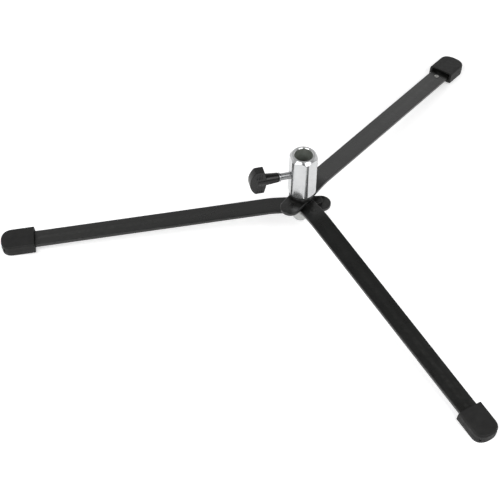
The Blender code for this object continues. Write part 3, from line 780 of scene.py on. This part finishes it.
def boot_shell():
    """Rings of the boot's outline stacked up from the sole to its softly rounded top."""
    bottom, top = -BOOT_SOLE_DEPTH, BOOT_HEIGHT - BOOT_SOLE_DEPTH
    seam = (bottom + top) / 2 - 0.0006
    levels = [(BOOT_SOLE_EDGE, bottom), (0.00015, bottom + 0.00015), (0, bottom + BOOT_SOLE_EDGE)]
    levels += [(0, seam - SEAM_WIDTH / 2), (-SEAM_HEIGHT, seam - 0.00005),
               (-SEAM_HEIGHT, seam + 0.00005), (0, seam + SEAM_WIDTH / 2),
               (0.0001, top - BOOT_ROUNDING)]
    for i in range(1, 8):
        a = pi / 2 * i / 7
        levels.append((0.0001 + BOOT_ROUNDING * (1 - cos(a)), top - BOOT_ROUNDING * (1 - sin(a))))
    shell = bmesh.new()
    rings = []
    for inset, z in levels:
        mouth_inset = max(0.0, min(inset, GAP))
        outline = boot_outline(inset)
        outline[0] = (mouth_inset, outline[0][1])
        outline[-1] = (mouth_inset, outline[-1][1])
        rings.append([shell.verts.new((x, y, z)) for x, y in outline])
    for lower, upper in zip(rings, rings[1:]):
        for i in range(len(lower)):
            k = (i + 1) % len(lower)
            shell.faces.new((lower[i], lower[k], upper[k], upper[i]))
    shell.faces.new(list(reversed(rings[0])))
    shell.faces.new(rings[-1])
    return shell


def boot_cavity(leg, material, place):
    """Tool for the pocket: it fits the bar, with more air and rounded edges at the mouth."""
    end = (leg.tip - leg.mouth) / cos(leg.slope) + GAP
    bottom = -BAR_THICKNESS - GAP
    half = BOOT_CAVITY_HALF_WIDTH
    flare = 0.0004
    sections = [(-0.002, flare), (0.0, flare), (0.0006, 0.0), (end, 0.0)]
    shell = bmesh.new()
    rings = []
    for x, grow in sections:
        roof = 2 * GAP + (BOOT_MOUTH_AIR - 2 * GAP) * (1 - max(0.0, x) / end)
        corners = [(-half - grow, bottom - grow), (half + grow, bottom - grow),
                   (half + grow, roof + grow), (-half - grow, roof + grow)]
        ring_points = rounded(corners, 0.0005, 3, closed=True)
        rings.append([shell.verts.new((x, y, z)) for y, z in ring_points])
    for first, second in zip(rings, rings[1:]):
        for i in range(len(first)):
            k = (i + 1) % len(first)
            shell.faces.new((first[i], first[k], second[k], second[i]))
    shell.faces.new(rings[0])
    shell.faces.new(list(reversed(rings[-1])))
    return object_from(shell, leg.name + "_pocket", material, 30, place)


def make_boot(leg, material):
    place = leg.on_slope(leg.mouth)
    boot = object_from(boot_shell(), leg.name + "_boot_moulded", material, 50, place)
    floor = bmesh.new()
    bmesh.ops.create_cube(floor, size=0.2, matrix=Matrix.Translation(
        place.translation.xy.to_3d() + Vector((0, 0, FLOOR - 0.1))))
    tools = [boot_cavity(leg, material, place), object_from(floor, "floor_cut", material)]
    cut(boot, tools)
    boot.data.set_sharp_from_angle(angle=radians(40))
    modifier = boot.modifiers.new("Normals", "WEIGHTED_NORMAL")
    modifier.keep_sharp = True
    stands_for(boot, leg.name + "_boot")


# ---------------------------------------------------------------- thumbscrew

def wing_outline(steps=28):
    """Half-round grip: x out along the screw, y across it, with rounded corners."""
    half = WING_HALF_HEIGHT
    sagitta = WING_DEPTH - WING_SHOULDER
    radius = (sagitta ** 2 + half ** 2) / (2 * sagitta)
    reach = asin(half / radius)
    outer = [(WING_DEPTH - radius + radius * cos(a), radius * sin(a))
             for a in (reach * (2 * i / steps - 1) for i in range(steps + 1))]
    inner = [(WING_CORNER, half), (0, NECK_ROOT_RADIUS)]
    mirrored = [(x, -y) for x, y in reversed(inner)]
    outline = outer + inner + mirrored
    radii = [0] * len(outline)
    radii[0] = radii[len(outer) - 1] = 0.0009
    radii[len(outer)] = radii[-1] = 0.0009
    radii[len(outer) + 1] = radii[-2] = 0.0030
    return rounded(outline, radii, 5, closed=True)


def make_knob(material):
    """Turned neck and bevelled wing, joined, with finger grooves."""
    bore_end = SCREW_END_IN_KNOB + GAP
    bore = SCREW_RADIUS + GAP
    start = NECK_START
    inside_wing = WING_START + WING_DEPTH * 0.5
    neck = rounded([(0, inside_wing), (NECK_ROOT_RADIUS - 0.0005, inside_wing),
                    (NECK_ROOT_RADIUS, WING_START), (NECK_RADIUS, start + 0.0006),
                    (NECK_RADIUS - 0.0006, start), (bore, start), (bore, bore_end), (0, bore_end)],
                   [0, 0.0004, 0.004, 0.0006, 0.0003, 0.0001, 0.0002, 0], 5)
    place = along_screw()
    knob = lathe("thumbscrew_grip", neck, material, place, 96)
    shell = bmesh.new()
    half = WING_THICKNESS / 2
    face = shell.faces.new([shell.verts.new((-y, -half, WING_START + x)) for x, y in wing_outline()])
    extruded = bmesh.ops.extrude_face_region(shell, geom=[face])
    moved = [item for item in extruded["geom"] if isinstance(item, bmesh.types.BMVert)]
    bmesh.ops.translate(shell, verts=moved, vec=(0, WING_THICKNESS, 0))
    rim = [edge for edge in shell.edges if abs(abs(edge.verts[0].co.y) - half) < GAP
           and abs(edge.verts[0].co.y - edge.verts[1].co.y) < GAP]
    bmesh.ops.bevel(shell, geom=rim, offset=WING_EDGE, segments=6, profile=0.5, affect="EDGES",
                    clamp_overlap=True)
    wing = object_from(shell, "thumbscrew_wing", material, 40, place)
    cut(knob, [wing], "UNION")
    cut(knob, [groove_tool(material, place, half)])
    knob.data.set_sharp_from_angle(angle=radians(45))
    modifier = knob.modifiers.new("Normals", "WEIGHTED_NORMAL")
    modifier.keep_sharp = True
    stands_for(knob, "thumbscrew_knob")


def groove_tool(material, place, half):
    """Rounded bars that press the finger grooves into both faces at both ends."""
    shell = bmesh.new()
    first = WING_START + GROOVE_MIDDLE - GROOVE_PITCH
    for end in (-1, 1):
        for face in (-1, 1):
            for step in range(GROOVES_PER_END):
                centre = Vector((end * GROOVE_CENTRE, face * (half + 0.0002),
                                 first + step * GROOVE_PITCH))
                turned = Matrix.Translation(centre) @ Matrix.Rotation(pi / 2, 4, "Y")
                bmesh.ops.create_cone(shell, cap_ends=True, segments=16,
                                      radius1=GROOVE_TOOL_RADIUS, radius2=GROOVE_TOOL_RADIUS,
                                      depth=GROOVE_LENGTH, matrix=turned)
    return object_from(shell, "thumbscrew_groove_tool", material, 30, place)


def make_screw(metal, steel):
    """Threaded stud with its collar and pressure pad."""
    place = along_screw()
    threaded = thread_mesh(SCREW_RADIUS, THREAD_DEPTH, SCREW_PITCH, THREAD_START,
                           SCREW_END_IN_KNOB, 48)
    stands_for(object_from(threaded, "thumbscrew_thread", metal, 60, place),
               "thumbscrew_stud")
    collar = ring(SCREW_RADIUS + GAP, COLLAR_RADIUS, COLLAR_START, COLLAR_END)
    stands_for(lathe("thumbscrew_ring", collar, metal, place, closed=True),
               "thumbscrew_collar")
    pad = rounded([(0, PAD_END), (PAD_RADIUS, PAD_END), (PAD_RADIUS, PAD_START), (0, PAD_START)],
                  [0, 0.0002, 0.0003, 0], 4)
    stands_for(lathe("pressure_pad_tip", pad, steel, place, 64), "pressure_pad")


# ---------------------------------------------------------------- studio

VIEW_AZIMUTH = radians(-4.653)
VIEW_ELEVATION = radians(46.931)
VIEW_ROLL = radians(1.774)
VIEW_DISTANCE = 1.6788
VIEW_RIGHT = 0.0460                     # of the hub from the middle of the picture
VIEW_UP = 0.0423
SOFTBOX_TURN = radians(41)              # to either side of the camera
SOFTBOX_ELEVATION = radians(45)
SOFTBOX_DISTANCE = 1.3
SOFTBOX_SIZE = 0.75
SOFTBOX_POWER = 8.0
LENS = 133.79
SENSOR = 36.0
FLOOR_HALF_SIZE = 6.0
WALL_STOPS = ((0.0, 0.95), (0.52, 0.95), (0.72, 0.62), (0.88, 0.08), (1.0, 0.06))
WALL_IN_FRONT = 0.12                    # share of the wall's brightness on the camera's side


def make_camera():
    """Camera at the photograph's viewing angle, aimed past the hub."""
    back = Vector((sin(VIEW_AZIMUTH) * cos(VIEW_ELEVATION),
                   -cos(VIEW_AZIMUTH) * cos(VIEW_ELEVATION), sin(VIEW_ELEVATION)))
    level = Vector((cos(VIEW_AZIMUTH), sin(VIEW_AZIMUTH), 0))
    upright = back.cross(level)
    right = cos(VIEW_ROLL) * level + sin(VIEW_ROLL) * upright
    up = cos(VIEW_ROLL) * upright - sin(VIEW_ROLL) * level
    hub = Vector((0, 0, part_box("lower_leg_bar")[1].z))
    data = bpy.data.cameras.new("camera")
    data.lens = LENS
    data.sensor_width = SENSOR
    data.clip_start = 0.05
    data.clip_end = 20
    camera = bpy.data.objects.new("camera", data)
    turned = Matrix((right, up, back)).transposed().to_4x4()
    place = hub + back * VIEW_DISTANCE - right * VIEW_RIGHT - up * VIEW_UP
    camera.matrix_world = Matrix.Translation(place) @ turned
    bpy.context.scene.collection.objects.link(camera)
    bpy.context.scene.camera = camera


def make_floor():
    shell = bmesh.new()
    bmesh.ops.create_grid(shell, x_segments=8, y_segments=8, size=FLOOR_HALF_SIZE,
                          matrix=Matrix.Translation((0, 0, FLOOR)))
    object_from(shell, "floor", paper_floor())


def area_light(name, place, size, power, colour=(1, 1, 1)):
    data = bpy.data.lights.new(name, "AREA")
    data.shape = "RECTANGLE"
    data.size, data.size_y = size
    data.energy = power
    data.color = colour
    light = bpy.data.objects.new(name, data)
    light.location = place
    light.rotation_euler = (-Vector(place)).to_track_quat("-Z", "Y").to_euler()
    bpy.context.scene.collection.objects.link(light)


def make_world():
    """Surround: a pale wall behind that fades upwards, and a dark room in front.

    WALL_STOPS gives the wall's brightness at each height of the direction, from level to overhead.
    """
    world = bpy.data.worlds.new("studio")
    bpy.context.scene.world = world
    world.use_nodes = True
    tree = world.node_tree
    background = tree.nodes["Background"]
    coords = tree.nodes.new("ShaderNodeTexCoord")
    split = tree.nodes.new("ShaderNodeSeparateXYZ")
    tree.links.new(coords.outputs["Generated"], split.inputs["Vector"])
    wall = ramp_node(tree, split.outputs["Z"], WALL_STOPS)
    side = tree.nodes.new("ShaderNodeMapRange")
    side.inputs["From Min"].default_value = -0.6
    side.inputs["From Max"].default_value = 0.3
    side.inputs["To Min"].default_value = WALL_IN_FRONT
    tree.links.new(split.outputs["Y"], side.inputs["Value"])
    tree.links.new(side.outputs["Result"], background.inputs["Strength"])
    tree.links.new(wall, background.inputs["Color"])


def ramp_node(tree, value, stops):
    ramp = tree.nodes.new("ShaderNodeValToRGB")
    elements = ramp.color_ramp.elements
    for place, level in stops[1:-1]:
        elements.new(place)
    for element, (place, level) in zip(elements, stops):
        element.position = place
        element.color = (level, level, level, 1.0)
    tree.links.new(value, ramp.inputs["Fac"])
    return ramp.outputs["Color"]


def make_studio():
    make_camera()
    make_floor()
    make_world()
    for side in (-1, 1):
        turn = VIEW_AZIMUTH - pi / 2 + side * SOFTBOX_TURN
        place = Vector((cos(turn), sin(turn), tan(SOFTBOX_ELEVATION))).normalized() * SOFTBOX_DISTANCE
        area_light("softbox", place, (SOFTBOX_SIZE, SOFTBOX_SIZE), SOFTBOX_POWER)
    bpy.context.scene.view_settings.view_transform = "Standard"


# ---------------------------------------------------------------- assembly

def make_object():
    paint = powder_coat()
    metal = chrome()
    steel = zinc()
    boot_rubber = rubber()
    plastic = black_plastic()
    make_socket(metal, bored_steel())
    make_hub_stack(paint, steel, plastic, nylon())
    for name, stop_side in (("lower_leg", 1), ("middle_leg", 0), ("upper_leg", -1)):
        leg = Leg(name)
        make_bar(leg, paint)
        make_rivet(leg, steel)
        make_boot(leg, boot_rubber)
        if stop_side:
            make_stop(leg, paint, stop_side)
    make_screw(screw_steel(), steel)
    make_knob(plastic)


make_object()
make_studio()
